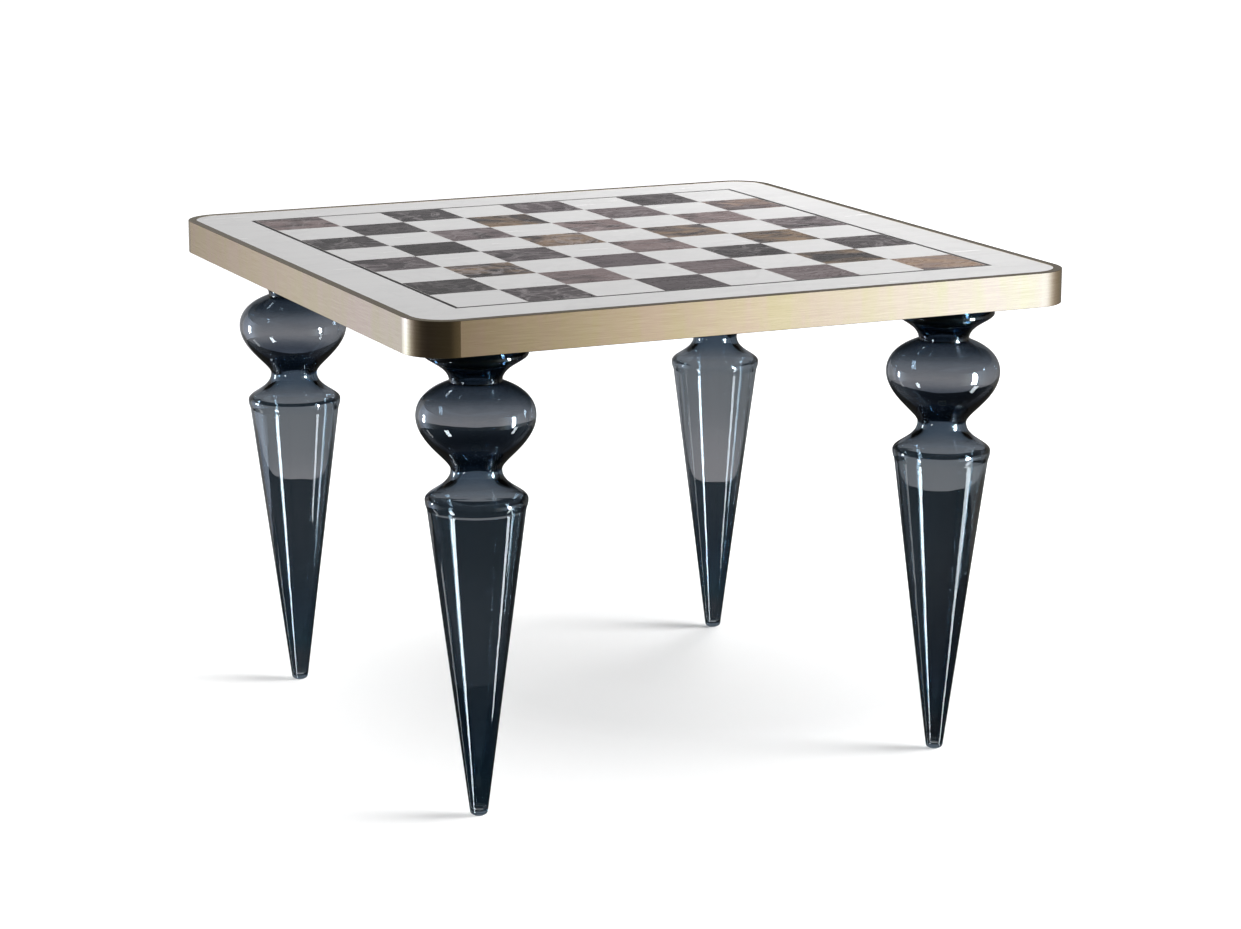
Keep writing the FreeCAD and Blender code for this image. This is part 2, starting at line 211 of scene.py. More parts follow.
def new_material(name, **plain_values):
    """A material with a Principled shader whose plain values are set by name."""
    material = bpy.data.materials.new(name)
    material.use_nodes = True
    tree = material.node_tree
    shader = tree.nodes["Principled BSDF"]
    feed(tree, shader, **plain_values)
    return material, tree, shader


def bumped(tree, height, strength, distance):
    """The normal of a surface that a height pattern makes uneven, by so many metres."""
    return node(tree, "ShaderNodeBump",
                {"Strength": strength, "Distance": distance, "Height": height}).outputs[0]


print("helpers for colours and materials")

# %% [markdown]
# ## Node groups: effects that several finishes share
# A real workshop uses the same few marks on many pieces: lines drawn by an abrasive
# belt, soft patches where a cloth has polished more or less, the veins of stone. The
# same nodes could be copied into each material. Each effect is built once instead, as a
# group with named inputs and outputs, so a change to it reaches every finish.

# %% How a group is made and used
FLOAT, VECTOR = "NodeSocketFloat", "NodeSocketVector"


def new_group(name, inputs, outputs):
    """An empty shader node group with named sockets: (name, type, default)."""
    group = bpy.data.node_groups.new(name, "ShaderNodeTree")
    for label, kind, default in inputs:
        socket = group.interface.new_socket(name=label, in_out="INPUT", socket_type=kind)
        if default is not None:
            socket.default_value = default
    for label, kind in outputs:
        group.interface.new_socket(name=label, in_out="OUTPUT", socket_type=kind)
    entry = group.nodes.new("NodeGroupInput")
    leaving = group.nodes.new("NodeGroupOutput")
    return group, entry.outputs, leaving.inputs


def use_group(tree, group, **inputs):
    """Places a group in a material and links or fills its inputs by name."""
    placed = tree.nodes.new("ShaderNodeGroup")
    placed.node_tree = group
    feed(tree, placed, **inputs)
    return placed.outputs


print("node groups can be made and placed")

# %% [markdown]
# **Drawn lines.** A belt leaves fine parallel lines. The trick is a noise that is very
# narrow across the lines and very long along them. The group takes the place on the
# surface, and a length measured across the lines, which each material works out for
# its own shape.

# %% Group: drawn lines
drawn_lines, taken, given = new_group(
    "drawn_lines",
    [("Place", VECTOR, None), ("Across", FLOAT, 0.0), ("Fineness", FLOAT, 2400.0),
     ("Along", FLOAT, 5.0)],
    [("Lines", FLOAT)],
)
along_place = node(drawn_lines, "ShaderNodeVectorMath",
                   {0: taken["Place"], "Scale": taken["Along"]}, operation="SCALE").outputs[0]
along_parts = parts_of(drawn_lines, along_place)
across_part = maths(drawn_lines, "MULTIPLY", taken["Across"], taken["Fineness"])
line_space = joined(drawn_lines, along_parts[0], along_parts[1], across_part)
line_noise = noise(drawn_lines, line_space, scale=1.0, Detail=4.0, Roughness=0.7)
drawn_lines.links.new(line_noise, given["Lines"])
print("group:", drawn_lines.name)

# %% [markdown]
# **Soft patches.** Nothing that is polished by hand is equally bright everywhere. Two
# noises of different size give a slow change that the materials add to roughness or
# colour.

# %% Group: soft patches
TIMES_FINER = 5.3
BROAD_SHARE, FINER_SHARE = 0.65, 0.35

soft_patches, taken, given = new_group(
    "soft_patches", [("Place", VECTOR, None), ("Scale", FLOAT, 6.0)], [("Patches", FLOAT)])
broad = noise(soft_patches, taken["Place"], taken["Scale"], Detail=2.0)
finer_scale = maths(soft_patches, "MULTIPLY", taken["Scale"], TIMES_FINER)
finer = noise(soft_patches, taken["Place"], finer_scale, Detail=3.0)
broad_part = maths(soft_patches, "MULTIPLY", broad, BROAD_SHARE)
soft_patches.links.new(scaled(soft_patches, finer, FINER_SHARE, broad_part), given["Patches"])
print("group:", soft_patches.name)

# %% [markdown]
# **Stone veins.** Stone is clouds crossed by veins. A vein is where a bent noise passes
# through its middle value, so the distance from that value, sharpened, draws thin
# wandering lines. A second noise, from another place in the stone, gives the clouds.

# %% Group: stone veins
AWAY_FROM_CLOUDS = (3.1, 7.7, 1.9)

stone_veins, taken, given = new_group(
    "stone_veins",
    [("Place", VECTOR, None), ("Scale", FLOAT, 14.0), ("Thinness", FLOAT, 14.0),
     ("Bend", FLOAT, 1.2)],
    [("Veins", FLOAT), ("Clouds", FLOAT)],
)
clouds = noise(stone_veins, taken["Place"], taken["Scale"], Detail=6.0, Roughness=0.62,
               Distortion=taken["Bend"])
vein_place = vector_maths(stone_veins, "ADD", taken["Place"], AWAY_FROM_CLOUDS)
vein_noise = noise(stone_veins, vein_place, taken["Scale"], Detail=5.0, Roughness=0.55,
                   Distortion=taken["Bend"])
off_middle = maths(stone_veins, "ABSOLUTE", maths(stone_veins, "SUBTRACT", vein_noise, 0.5))
sharpened = maths(stone_veins, "MULTIPLY", off_middle, taken["Thinness"])
stone_veins.links.new(maths(stone_veins, "SUBTRACT", 1.0, sharpened, clamp=True),
                      given["Veins"])
stone_veins.links.new(clouds, given["Clouds"])
print("group:", stone_veins.name)

# %% [markdown]
# **Board squares.** All the squares of one colour share a material, yet each was cut
# from another slab. Sixty-four materials would do it too, but are a burden to change.
# This group finds which square a point lies on, counts it, and turns the count into
# three random numbers and a shifted place, so no two squares match.

# %% Group: board squares
SQUARES_PER_SIDE = 8
FIELD_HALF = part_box("joint_resin")[1].x
SQUARE_PITCH = 2 * FIELD_HALF / SQUARES_PER_SIDE
COUNT_FROM = (17.0, 5.0, 0)     # another start deals out other slabs
JUMP = (9.0, 9.0, 9.0)          # metres, far beyond the figure of the next slab

board_squares, taken, given = new_group(
    "board_squares", [("Place", VECTOR, None)],
    [("Shifted", VECTOR), ("First", FLOAT), ("Second", FLOAT), ("Third", FLOAT)])
from_corner = vector_maths(board_squares, "ADD", taken["Place"], (FIELD_HALF, FIELD_HALF, 0))
in_squares = vector_maths(board_squares, "MULTIPLY", from_corner,
                          (1 / SQUARE_PITCH, 1 / SQUARE_PITCH, 0))
square_count = vector_maths(board_squares, "FLOOR", in_squares)
seeded = vector_maths(board_squares, "ADD", square_count, COUNT_FROM)
chance = node(board_squares, "ShaderNodeTexWhiteNoise", {"Vector": seeded},
              noise_dimensions="3D").outputs["Color"]
chance_parts = node(board_squares, "ShaderNodeSeparateColor", {0: chance}).outputs
jump = vector_maths(board_squares, "MULTIPLY", chance, JUMP)
board_squares.links.new(vector_maths(board_squares, "ADD", taken["Place"], jump),
                        given["Shifted"])
for index, label in enumerate(("First", "Second", "Third")):
    board_squares.links.new(chance_parts[index], given[label])
print("group:", board_squares.name, "with a pitch of %.4f m" % SQUARE_PITCH)

# %% [markdown]
# **Bedding streaks.** Stone was laid down in beds, so its figure is longer one way than
# the other. Shortening the place along x before the noise reads it stretches the figure
# in that direction.

# %% Group: bedding streaks
bedding_streaks, taken, given = new_group(
    "bedding_streaks",
    [("Place", VECTOR, None), ("Scale", FLOAT, 20.0), ("Length", FLOAT, 6.0),
     ("Bend", FLOAT, 0.6)],
    [("Streaks", FLOAT)],
)
streak_parts = parts_of(bedding_streaks, taken["Place"])
shortened = maths(bedding_streaks, "DIVIDE", streak_parts[0], taken["Length"])
streak_place = joined(bedding_streaks, shortened, streak_parts[1], streak_parts[2])
streak_noise = noise(bedding_streaks, streak_place, taken["Scale"], Detail=5.0,
                     Roughness=0.6, Distortion=taken["Bend"])
bedding_streaks.links.new(streak_noise, given["Streaks"])
print("group:", bedding_streaks.name)

# %% [markdown]
# ## Brushed metal of the band
# The band is folded from champagne bronze and brushed lengthwise. The lines run along
# the wall, round the corners and along the rim without a break. Unwrapping the band and
# painting stripes would leave a seam. Here the length across the lines is worked out
# from the place: the height on the wall, plus the distance in from the outside on the
# rim. That distance is the usual formula for a rounded square.

# %% Distance from a rounded square
def rounded_square_distance(tree, place, half, corner_radius):
    """Distance outside a rounded square, seen from above. It is negative inside."""
    parts = parts_of(tree, place)
    past_x = maths(tree, "SUBTRACT", maths(tree, "ABSOLUTE", parts[0]), half - corner_radius)
    past_y = maths(tree, "SUBTRACT", maths(tree, "ABSOLUTE", parts[1]), half - corner_radius)
    square_x = maths(tree, "POWER", maths(tree, "MAXIMUM", past_x, 0.0), 2.0)
    square_y = maths(tree, "POWER", maths(tree, "MAXIMUM", past_y, 0.0), 2.0)
    round_part = maths(tree, "SQRT", maths(tree, "ADD", square_x, square_y))
    flat_part = maths(tree, "MINIMUM", maths(tree, "MAXIMUM", past_x, past_y), 0.0)
    return maths(tree, "SUBTRACT", maths(tree, "ADD", round_part, flat_part), corner_radius)


BAND_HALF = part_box("edge_band")[1].x
BAND_CORNER_RADIUS = 0.059
print("the band's outside stands %.3f m from the middle" % BAND_HALF)

# %% [markdown]
# The colour is never even on brushed bronze. Broad upright patches go from olive to
# rose, and pale lines lie over them. The same lines feed the roughness and a very low
# bump, and the shader's anisotropy draws each highlight out across them.

# %% Material: brushed band
BAND_OLIVE = colour(0.67, 0.575, 0.38)
BAND_ROSE = colour(0.70, 0.555, 0.455)
BAND_LINE = colour(0.86, 0.75, 0.57)
LINE_HEIGHT = 0.00006            # metres
UPRIGHT_STRETCH = (1.0, 1.0, 0.25)


def make_brushed_band():
    material, tree, shader = new_material("brushed_band", Metallic=1.0, Anisotropic=0.6,
                                          Anisotropic_Rotation=0.25)
    place = object_place(tree)
    across = maths(tree, "ADD", parts_of(tree, place)[2],
                   rounded_square_distance(tree, place, BAND_HALF, BAND_CORNER_RADIUS))
    lines = use_group(tree, drawn_lines, Place=place, Across=across, Fineness=700.0,
                      Along=18.0)["Lines"]
    upright = vector_maths(tree, "MULTIPLY", place, UPRIGHT_STRETCH)
    columns = use_group(tree, soft_patches, Place=upright, Scale=16.0)["Patches"]
    patches = use_group(tree, soft_patches, Place=place, Scale=9.0)["Patches"]
    rosy = scaled(tree, columns, gain=5.0, shift=-2.0, clamp=True)
    ground = mix_colour(tree, rosy, BAND_OLIVE, BAND_ROSE)
    line_amount = scaled(tree, lines, gain=1.7, shift=-0.65, clamp=True)
    smoothest = scaled(tree, patches, gain=0.10, shift=0.12)
    feed(tree, shader,
         Base_Color=mix_colour(tree, line_amount, ground, BAND_LINE),
         Roughness=scaled(tree, lines, gain=0.12, shift=smoothest),
         Normal=bumped(tree, lines, strength=0.35, distance=LINE_HEIGHT))
    return material


brushed_band = make_brushed_band()
print("material:", brushed_band.name)

# %% [markdown]
# ## White marble
# The pale squares and the border are a fine white marble with almost no figure. It is
# honed rather than mirror polished, so it gets a low specular level and a soft
# roughness. Every square takes its tone from its own random number: a board that is one
# even white looks like plastic.

# %% Material: white marble
STONE_SPECULAR = 0.12
MARBLE_LIGHT = colour(0.80, 0.795, 0.79)
MARBLE_DEEP = colour(0.745, 0.74, 0.745)
MARBLE_VEIN = colour(0.58, 0.575, 0.58)
VEIN_STRENGTH = 0.14


def make_white_marble():
    material, tree, shader = new_material("white_marble", Specular_IOR_Level=STONE_SPECULAR)
    squares = use_group(tree, board_squares, Place=object_place(tree))
    place = squares["Shifted"]
    streaks = use_group(tree, bedding_streaks, Place=place, Scale=60.0, Length=8.0,
                        Bend=0.4)["Streaks"]
    veins = use_group(tree, stone_veins, Place=place, Scale=7.0, Thinness=30.0, Bend=0.7)
    figure = maths(tree, "MULTIPLY", streaks, 1.1)
    tone = scaled(tree, squares["First"], gain=0.35, shift=figure)
    lightness = maths(tree, "SUBTRACT", tone, 0.1, clamp=True)
    ground = mix_colour(tree, lightness, MARBLE_DEEP, MARBLE_LIGHT)
    vein_amount = maths(tree, "MULTIPLY", veins["Veins"], VEIN_STRENGTH)
    feed(tree, shader,
         Base_Color=mix_colour(tree, vein_amount, ground, MARBLE_VEIN),
         Roughness=scaled(tree, streaks, gain=0.05, shift=0.24))
    return material


white_marble = make_white_marble()
print("material:", white_marble.name)

# %% [markdown]
# ## Dark stone
# The dark slabs differ most in their ground: some are charcoal, some a purple grey, a
# few nearly rose. A ramp turns each square's random number into one of them. Over the
# ground lie dark smoky patches, soft pale streaks, a little ochre in about one square
# out of five, and a few thin wisps.

# %% Material: dark stone
SLAB_GROUNDS = (
    (0.0, (0.052, 0.050, 0.051)), (0.42, (0.075, 0.069, 0.072)),
    (0.68, (0.135, 0.113, 0.122)), (1.0, (0.27, 0.205, 0.20)),
)
SMOKY_PATCH = colour(0.040, 0.038, 0.041)
PALE_STREAK = colour(0.30, 0.265, 0.275)
WARM_STREAK = colour(0.46, 0.31, 0.19)
WISP = colour(0.62, 0.57, 0.58)
PLAIN_SQUARES = 0.78             # the share of the squares without ochre
WARM_STRENGTH = 0.62
WISP_STRENGTH = 0.35


def make_dark_stone():
    material, tree, shader = new_material("dark_stone", Specular_IOR_Level=STONE_SPECULAR)
    squares = use_group(tree, board_squares, Place=object_place(tree))
    place = squares["Shifted"]
    slab = colour_ramp(tree, squares["First"], SLAB_GROUNDS)
    broad = use_group(tree, bedding_streaks, Place=place, Scale=13.0, Length=1.5,
                      Bend=1.5)["Streaks"]
    fine = use_group(tree, bedding_streaks, Place=place, Scale=70.0, Length=2.6,
                     Bend=1.2)["Streaks"]
    veins = use_group(tree, stone_veins, Place=place, Scale=11.0, Thinness=26.0, Bend=1.8)

    smoky = maths(tree, "MULTIPLY", scaled(tree, broad, gain=-8.0, shift=4.1, clamp=True),
                  scaled(tree, squares["Third"], gain=0.6, shift=0.3))
    ground = mix_colour(tree, smoky, slab, SMOKY_PATCH)
    pale = scaled(tree, fine, gain=0.85, shift=-0.34, clamp=True)
    streaked = mix_colour(tree, pale, ground, PALE_STREAK)
    warm = maths(tree, "MULTIPLY",
                 maths(tree, "GREATER_THAN", squares["Second"], PLAIN_SQUARES),
                 scaled(tree, broad, gain=4.0, shift=-1.6, clamp=True))
    warmed = mix_colour(tree, maths(tree, "MULTIPLY", warm, WARM_STRENGTH), streaked,
                        WARM_STREAK)
    wisps = maths(tree, "MULTIPLY", veins["Veins"],
                  maths(tree, "MULTIPLY", squares["Third"], WISP_STRENGTH))
    feed(tree, shader,
         Base_Color=mix_colour(tree, wisps, warmed, WISP),
         Roughness=scaled(tree, fine, gain=0.2, shift=0.18))
    return material


dark_stone = make_dark_stone()
print("material:", dark_stone.name)

# %% [markdown]
# ## Inlay line and joint resin
# A strip of near-black stone frames the field, and a pale resin fills the saw cuts
# between the squares. Both are too narrow to show much of a figure, so one pattern each
# is enough to keep them from looking printed.

# %% Materials: inlay line and joint resin
INLAY_DARK, INLAY_LIGHT = colour(0.012, 0.012, 0.013), colour(0.05, 0.045, 0.045)
RESIN_DARK, RESIN_LIGHT = colour(0.6, 0.58, 0.56), colour(0.75, 0.73, 0.71)


def make_dark_inlay():
    material, tree, shader = new_material("dark_inlay", Specular_IOR_Level=STONE_SPECULAR,
                                          Roughness=0.3)
    clouds = use_group(tree, stone_veins, Place=object_place(tree), Scale=40.0,
                       Thinness=10.0, Bend=1.0)["Clouds"]
    feed(tree, shader, Base_Color=mix_colour(tree, clouds, INLAY_DARK, INLAY_LIGHT))
    return material


def make_pale_resin():
    material, tree, shader = new_material("pale_resin", Specular_IOR_Level=STONE_SPECULAR,
                                          Roughness=0.35)
    patches = use_group(tree, soft_patches, Place=object_place(tree), Scale=18.0)["Patches"]
    feed(tree, shader, Base_Color=mix_colour(tree, patches, RESIN_DARK, RESIN_LIGHT))
    return material


dark_inlay = make_dark_inlay()
pale_resin = make_pale_resin()
print("materials:", dark_inlay.name, pale_resin.name)

# %% [markdown]
# ## Smoked glass
# The legs are hollow blown glass, smoky blue-grey. The smoke is in the melt, so it takes
# more light where light has more glass to cross: a thin wall seen square on stays grey,
# while the thick necks, the tip and every edge go nearly black. An absorbing volume
# inside the clear surface does this, and a colour on the surface alone can't.
#
# A ramp of tints over the height carries the rest, partly smoke and partly painted shade.
# The cone is smoked deeper than the bulb. The dark seams above and below the shoulder and
# the dark top towards the collar are painted reflection of the dark parts of a room that
# real glass mirrors there and this plain studio hasn't got. A slow noise makes the steps
# waver, and a low bump gives the ripple of glass that was blown in a mould.

# %% Material: smoked glass
GLASS_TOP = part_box("glass_leg_front_left")[1].z
SMOKE_IN_MELT = colour(0.03, 0.27, 0.42)
SMOKE_DENSITY = 61.0
GLASS_SHEEN = colour(0.80, 0.92, 1.0)
GLASS_HAZE = 0.01
TINT_WAVER = 0.012               # metres, up and down together
RIPPLE_HEIGHT = 0.0006           # metres
# painted shade: the dark steps near the shoulder and at the top stand in for mirrored dark parts
# of a room, and the deeper cone is smoke
SMOKE_AND_PAINTED_SHADE_TINTS = (                  # metres above the floor, and the tint there
    (0.0, (1.0, 1.0, 1.0)), (0.04, (1.0, 1.0, 1.0)), (0.06, (0.80, 0.95, 1.0)),
    (0.10, (0.77, 0.88, 0.96)), (0.14, (0.78, 0.86, 0.92)), (0.18, (0.87, 0.91, 0.94)),
    (0.22, (0.93, 0.95, 0.97)), (0.26, (1.0, 1.0, 1.0)), (0.32, (1.0, 1.0, 1.0)),
    (0.36, (0.93, 0.94, 0.94)), (0.44, (0.92, 0.93, 0.93)), (0.46, (0.82, 0.86, 0.90)),
    (0.48, (0.68, 0.75, 0.82)), (0.501, (0.76, 0.80, 0.87)), (0.508, (0.28, 0.34, 0.43)),
    (0.515, (0.25, 0.30, 0.38)), (0.523, (0.42, 0.47, 0.54)), (0.531, (0.80, 0.83, 0.87)),
    (0.540, (0.95, 0.96, 0.97)), (0.568, (0.80, 0.835, 0.87)), (0.586, (0.57, 0.63, 0.69)),
    (0.601, (0.21, 0.27, 0.33)), (0.655, (0.14, 0.19, 0.26)),
)


def make_smoked_glass():
    material, tree, shader = new_material("smoked_glass", Transmission_Weight=1.0, IOR=1.5,
                                          Specular_Tint=GLASS_SHEEN)
    place = object_place(tree)
    patches = use_group(tree, soft_patches, Place=place, Scale=9.0)["Patches"]
    lowered = maths(tree, "SUBTRACT", parts_of(tree, place)[2], TINT_WAVER / 2)
    wavering = scaled(tree, patches, gain=TINT_WAVER, shift=lowered)
    # the base colour carries the smoke and the painted shade over the height
    tints = [(level / GLASS_TOP, tint) for level, tint in SMOKE_AND_PAINTED_SHADE_TINTS]
    ripple = noise(tree, place, scale=22.0, Detail=1.0)
    feed(tree, shader,
         Base_Color=colour_ramp(tree, maths(tree, "DIVIDE", wavering, GLASS_TOP), tints),
         Roughness=maths(tree, "MULTIPLY", patches, GLASS_HAZE),
         Normal=bumped(tree, ripple, strength=0.5, distance=RIPPLE_HEIGHT))
    absorption = node(tree, "ShaderNodeVolumeAbsorption",
                      {"Color": SMOKE_IN_MELT, "Density": SMOKE_DENSITY})
    feed(tree, tree.nodes["Material Output"], Volume=absorption.outputs[0])
    return material


smoked_glass = make_smoked_glass()
print("material:", smoked_glass.name)

# %% [markdown]
# ## Fittings
# The metal, wood and plastic parts under the top are plain engineering finishes. Flat
# colours would do from afar, but each part gets the grain that its making leaves:
# turned rings on the caps, a slight bloom on zinc, plies at the edge of the core.

# %% Materials: brass, zinc and plywood
def make_turned_brass():
    material, tree, shader = new_material("turned_brass", Metallic=1.0)
    place = object_place(tree)
    lines = use_group(tree, drawn_lines, Place=place, Across=parts_of(tree, place)[2],
                      Fineness=1800.0, Along=2.0)["Lines"]
    feed(tree, shader,
         Base_Color=mix_colour(tree, lines, colour(0.45, 0.33, 0.16), colour(0.62, 0.48, 0.27)),
         Roughness=scaled(tree, lines, gain=0.2, shift=0.22))
    return material


def make_zinc_steel():
    material, tree, shader = new_material("zinc_steel", Metallic=1.0)
    patches = use_group(tree, soft_patches, Place=object_place(tree), Scale=90.0)["Patches"]
    feed(tree, shader,
         Base_Color=mix_colour(tree, patches, colour(0.46, 0.46, 0.43), colour(0.66, 0.66, 0.64)),
         Roughness=scaled(tree, patches, gain=0.25, shift=0.25))
    return material


PLY_THICKNESS = 0.0014           # metres


def make_plywood():
    material, tree, shader = new_material("plywood_core", Roughness=0.55)
    place = object_place(tree)
    height = parts_of(tree, place)[2]
    plies = maths(tree, "PINGPONG", height, PLY_THICKNESS)
    lines = use_group(tree, drawn_lines, Place=place, Across=height, Fineness=900.0,
                      Along=30.0)["Lines"]
    amount = scaled(tree, plies, gain=500.0, shift=maths(tree, "MULTIPLY", lines, 0.4),
                    clamp=True)
    feed(tree, shader,
         Base_Color=mix_colour(tree, amount, colour(0.30, 0.18, 0.09), colour(0.62, 0.45, 0.27)))
    return material


turned_brass = make_turned_brass()
zinc_steel = make_zinc_steel()
plywood_core = make_plywood()
print("materials:", turned_brass.name, zinc_steel.name, plywood_core.name)

# %% [markdown]
# Coated and moulded surfaces have a fine skin like orange peel. They differ only in
# their colours, in how rough they are and in how fine and deep the skin is, so one
# function makes them all.

# %% Materials: coated and moulded parts
def make_grained(name, dark, light, roughness, grain_scale, grain_depth):
    """A surface with a fine skin: powder coat, laminate, rubber."""
    material, tree, shader = new_material(name)
    place = object_place(tree)
    grain = noise(tree, place, grain_scale, Detail=3.0)
    patches = use_group(tree, soft_patches, Place=place, Scale=7.0)["Patches"]
    feed(tree, shader,
         Base_Color=mix_colour(tree, patches, colour(*dark), colour(*light)),
         Roughness=scaled(tree, grain, gain=0.18, shift=roughness),
         Normal=bumped(tree, grain, strength=0.35, distance=grain_depth))
    return material


black_plate = make_grained(
    "black_plate", dark=(0.012, 0.012, 0.012), light=(0.03, 0.03, 0.03),
    roughness=0.42, grain_scale=1500.0, grain_depth=0.0002)
dark_laminate = make_grained(
    "dark_laminate", dark=(0.02, 0.02, 0.021), light=(0.035, 0.034, 0.034),
    roughness=0.5, grain_scale=900.0, grain_depth=0.0001)
black_steel = make_grained(
    "black_steel", dark=(0.015, 0.015, 0.016), light=(0.04, 0.04, 0.04),
    roughness=0.3, grain_scale=2500.0, grain_depth=0.00005)
black_rubber = make_grained(
    "black_rubber", dark=(0.012, 0.012, 0.012), light=(0.025, 0.025, 0.025),
    roughness=0.7, grain_scale=1200.0, grain_depth=0.0002)
clear_pad = make_grained(
    "clear_pad", dark=(0.5, 0.52, 0.54), light=(0.62, 0.64, 0.66),
    roughness=0.25, grain_scale=800.0, grain_depth=0.00005)
print("five more materials, the last one is", clear_pad.name)

# %% [markdown]
# ## Dress the construction model
# Each node names the material slot it belongs to in the part's record. Finishes could
# be handed out piece by piece. Going by the slot gives every node of one slot the same
# finish in one loop, and a piece that is added later gets its finish too.

# %% Give each node its finish
FINISHES = {
    "brushed_band": brushed_band, "plywood_core": plywood_core,
    "dark_laminate": dark_laminate, "black_steel": black_steel,
    "white_marble": white_marble, "dark_inlay": dark_inlay, "pale_resin": pale_resin,
    "dark_stone": dark_stone, "turned_brass": turned_brass,
    "black_rubber": black_rubber, "zinc_steel": zinc_steel, "black_plate": black_plate,
    "clear_pad": clear_pad,
}
dressed = 0
for part in frame["record"]["subparts"]:
    finish = FINISHES.get(part["material_slot"])
    if finish is None:
        continue
    piece = nodes[part["node"]]
    for slot in piece.material_slots:
        slot.material = finish
    dressed += 1
print("dressed", dressed, "nodes; the glass legs are still to come")

# %% [markdown]
# ## Turn the glass legs
# A glass leg is a solid of revolution. Sculpting it would never be quite round, so it is
# made on a lathe: an outline of radius and height, turned round the axis. The outline
# runs down the outside from the mouth to the foot, and up again inside the cavity. It is
# set out from stations, the places where the wall stands upright, such as the widest
# part of the bulb.

# %% Stations of the leg
def millimetres(*values):
    return tuple(value / 1000 for value in values)


# how far each station lies below the top of the glass, and its radius
COLLAR = millimetres(9.7, 72.0)
UPPER_NECK = millimetres(47.9, 36.2)
BULB = millimetres(95.4, 82.0)
LOWER_NECK = millimetres(170.3, 35.3)
SHOULDER = millimetres(211.2, 70.8)
COVE = millimetres(225.7, 67.8)
TIP_RADIUS, TIP_ROUNDING = millimetres(11.9, 5.8)
GLASS_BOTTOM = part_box("glass_leg_front_left")[0].z

MOUTH_RADIUS, MOUTH_DEPTH, MOUTH_CHAMFER = millimetres(55.0, 16.0, 2.0)
NECK_WALL, BULB_WALL, SHOULDER_WALL, CONE_WALL = millimetres(11.0, 2.4, 6.2, 6.0)
CAVITY_END_HEIGHT, CAVITY_END_RADIUS = millimetres(8.0, 6.0)


def station(place):
    """A station as radius and height above the floor."""
    return (place[1], GLASS_TOP - place[0])


print("the bulb is %.0f mm wide" % (2000 * BULB[1]))

# %% [markdown]
# Between two stations the wall is one smooth curve with two handles, as a glass blower's
# tools leave it. The handles are upright, so the curves meet without a corner. How long
# they are, as a share of the height between the stations, makes a turn tight or full.

# %% Curves between the stations
COLLAR_RUN, BULB_TOP_RUN, BULB_FOOT_RUN = (0.22, 0.55), (0.04, 0.75), (0.49, 0.19)
SHOULDER_RUN, BEAD_RUN = (0.57, 0.25), (0.60, 0.24)
CURVE_STEPS = 22
ROUND_STEPS = 8
CONE_STEPS = 12


def curve(start, handle_out, handle_in, end, steps=CURVE_STEPS):
    """Points on a smooth curve, without its last one."""
    points = []
    for i in range(steps):
        t = i / steps
        s = 1 - t
        weights = (s ** 3, 3 * s * s * t, 3 * s * t * t, t ** 3)
        controls = (start, handle_out, handle_in, end)
        points.append(tuple(sum(w * p[axis] for w, p in zip(weights, controls))
                            for axis in (0, 1)))
    return points


def run(upper, lower, shares):
    """The wall between two stations, upright at both."""
    fall = upper[1] - lower[1]
    return curve(upper, (upper[0], upper[1] - shares[0] * fall),
                 (lower[0], lower[1] + shares[1] * fall), lower)


def bead_run(shoulder, cove, slope=0.0, steps=CURVE_STEPS):
    """From the shoulder to the cove, where the wall leans by the slope of the cone."""
    bead = shoulder[1] - cove[1]
    return curve(shoulder, (shoulder[0], shoulder[1] - BEAD_RUN[0] * bead),
                 (cove[0] + slope * BEAD_RUN[1] * bead, cove[1] + BEAD_RUN[1] * bead),
                 cove, steps)


def quarter_round(start, end, corner):
    """A quarter round between two points, bulging towards their corner, without its end."""
    centre = tuple(s + e - c for s, e, c in zip(start, end, corner))
    points = []
    for i in range(ROUND_STEPS):
        turn = math.pi / 2 * i / ROUND_STEPS
        points.append(tuple(m + (s - m) * math.cos(turn) + (e - m) * math.sin(turn)
                            for m, s, e in zip(centre, start, end)))
    return points


def straight(start, end):
    """Points down the side of the cone, without the last one."""
    return [tuple(s + (e - s) * i / CONE_STEPS for s, e in zip(start, end))
            for i in range(CONE_STEPS)]


print("each run between stations has", CURVE_STEPS, "steps")

# %% [markdown]
# The cavity follows the outside at the wall's thickness. The wall is thin where the
# bulb was blown out and thick at the necks, where the glass was gathered. Down the cone
# it gets thinner in proportion to the radius, which keeps the two bright lines of light
# inside the cone apart down to the tip.

# %% Outline of the leg
def outside_outline():
    collar, upper_neck, bulb = station(COLLAR), station(UPPER_NECK), station(BULB)
    lower_neck, shoulder, cove = station(LOWER_NECK), station(SHOULDER), station(COVE)
    slope = (cove[0] - TIP_RADIUS) / (cove[1] - GLASS_BOTTOM)
    tip_top = (TIP_RADIUS + slope * TIP_ROUNDING, GLASS_BOTTOM + TIP_ROUNDING)
    tip_flat = (tip_top[0] - TIP_ROUNDING, GLASS_BOTTOM)
    return (
        quarter_round((collar[0] - COLLAR[0], GLASS_TOP), collar, (collar[0], GLASS_TOP))
        + run(collar, upper_neck, COLLAR_RUN)
        + run(upper_neck, bulb, BULB_TOP_RUN)
        + run(bulb, lower_neck, BULB_FOOT_RUN)
        + run(lower_neck, shoulder, SHOULDER_RUN)
        + bead_run(shoulder, cove, slope)
        + straight(cove, tip_top)
        + quarter_round(tip_top, tip_flat, (tip_top[0], GLASS_BOTTOM))
        + [tip_flat, (0.0, GLASS_BOTTOM)]
    )


